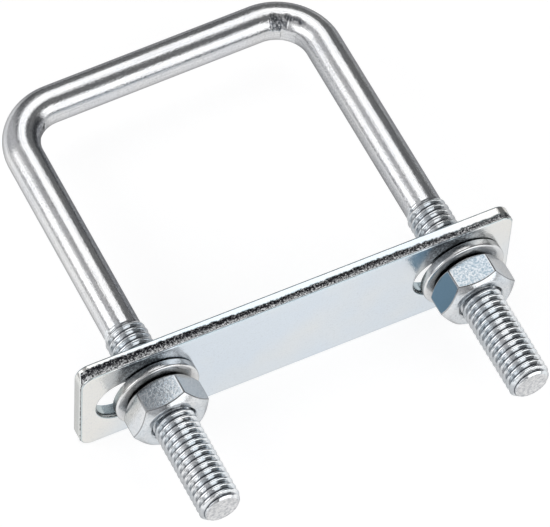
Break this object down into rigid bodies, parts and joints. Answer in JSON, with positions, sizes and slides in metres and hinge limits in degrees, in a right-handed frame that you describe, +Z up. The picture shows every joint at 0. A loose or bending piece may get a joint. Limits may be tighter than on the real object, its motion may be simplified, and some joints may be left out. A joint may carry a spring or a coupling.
{
  "type": "u-bolt",
  "caption": "Square-bend U-bolt clamp: bent rod with threaded legs, a slotted clamping plate, flat washers and hexagon nuts, for fastening a tube or bar.",
  "frame": {"origin": "on the plate's clamping face, midway between the legs and at the height of their axes", "axes": "+X along the plate from the left leg to the right, +Y along the legs from the nuts to the crossbar, +Z up, square to the plane of the U"},
  "size_m": [0.084, 0.094, 0.021],
  "materials": {
    "rod_zinc": "bright zinc plate on drawn rod",
    "plate_zinc": "bright zinc plate on punched strip",
    "washer_zinc": "bright zinc plate on stamped steel",
    "nut_zinc": "bright zinc plate on cold-formed steel"
  },
  "bodies": {
    "u_bolt": {"u_bolt": "rod_zinc"},
    "clamp_plate": {"clamp_plate": "plate_zinc"},
    "left_washer": {"left_washer": "washer_zinc"},
    "right_washer": {"right_washer": "washer_zinc"},
    "left_nut": {"left_nut": "nut_zinc"},
    "right_nut": {"right_nut": "nut_zinc"}
  },
  "joints": [
    {"name": "left_washer_travel", "type": "slide", "parent": "u_bolt", "child": "left_washer", "axis": [0, 1, 0], "range_m": [-0.03125, 0.0125]},
    {"name": "left_nut_turn", "type": "hinge", "parent": "left_washer", "child": "left_nut", "pos_m": [-0.03, -0.0049, 0], "axis": [0, 1, 0], "range_deg": [-9000, 3600]},
    {"name": "plate_shift", "type": "slide", "parent": "left_washer", "child": "clamp_plate", "axis": [1, 0, 0], "range_m": [-0.001, 0.005]},
    {"name": "right_washer_travel", "type": "slide", "parent": "u_bolt", "child": "right_washer", "axis": [0, 1, 0], "range_m": [-0.03125, 0.0125]},
    {"name": "right_nut_turn", "type": "hinge", "parent": "right_washer", "child": "right_nut", "pos_m": [0.03, -0.0049, 0], "axis": [0, 1, 0], "range_deg": [-9000, 3600]}
  ],
  "couplings": [
    {"joint": "left_nut_turn", "follows": "left_washer_travel", "rad_per_m": 5026.5},
    {"joint": "right_washer_travel", "follows": "left_washer_travel", "ratio": 1},
    {"joint": "right_nut_turn", "follows": "left_washer_travel", "rad_per_m": 5026.5}
  ]
}
